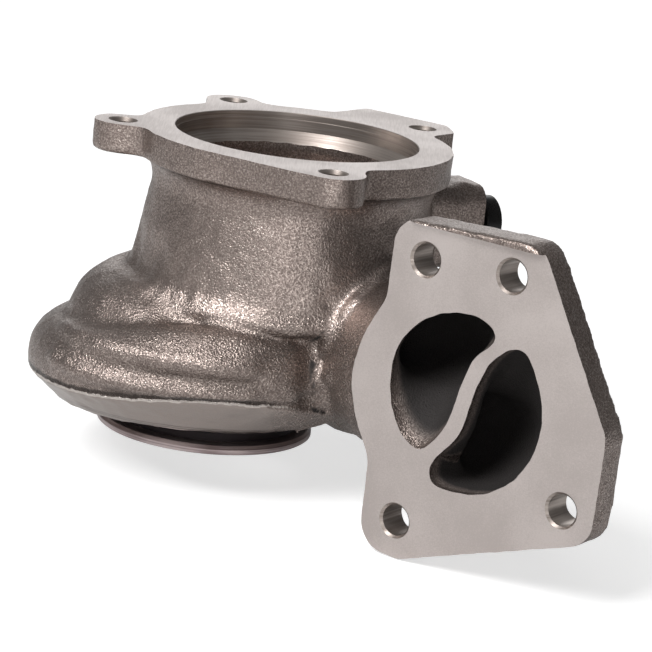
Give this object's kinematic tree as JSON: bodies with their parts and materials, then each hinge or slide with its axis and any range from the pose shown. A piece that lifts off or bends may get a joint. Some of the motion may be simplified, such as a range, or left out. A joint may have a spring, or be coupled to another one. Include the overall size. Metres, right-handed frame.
{
  "type": "turbine housing",
  "caption": "Twin-scroll turbocharger turbine housing with slanted inlet flange, clamp lip and internal wastegate flap on a lever.",
  "frame": {"origin": "turbine axis at the lower face of the clamp lip", "axes": "+Z along the turbine axis towards the outlet flange, +X towards the inlet side, -Y to the front"},
  "size_m": [0.1718, 0.1668, 0.1043],
  "materials": {
    "cast_iron": "sand-cast skin with milled and turned faces",
    "bush_steel": "ground",
    "spindle_steel": "ground",
    "flap_steel": "turned heat-resistant steel",
    "lever_black": "black oxide, semi-gloss"
  },
  "bodies": {
    "housing": {"turbine_housing": "cast_iron", "wastegate_bush": "bush_steel"},
    "wastegate": {"wastegate_spindle": "spindle_steel", "wastegate_flap": "flap_steel", "flap_washer": "flap_steel", "wastegate_lever": "lever_black", "lever_pin": "spindle_steel"}
  },
  "joints": [
    {"name": "wastegate_hinge", "type": "hinge", "parent": "housing", "child": "wastegate", "pos_m": [0.0315, 0.0105, 0.064], "axis": [-0.866, -0.5, 0], "range_deg": [0, 35]}
  ]
}
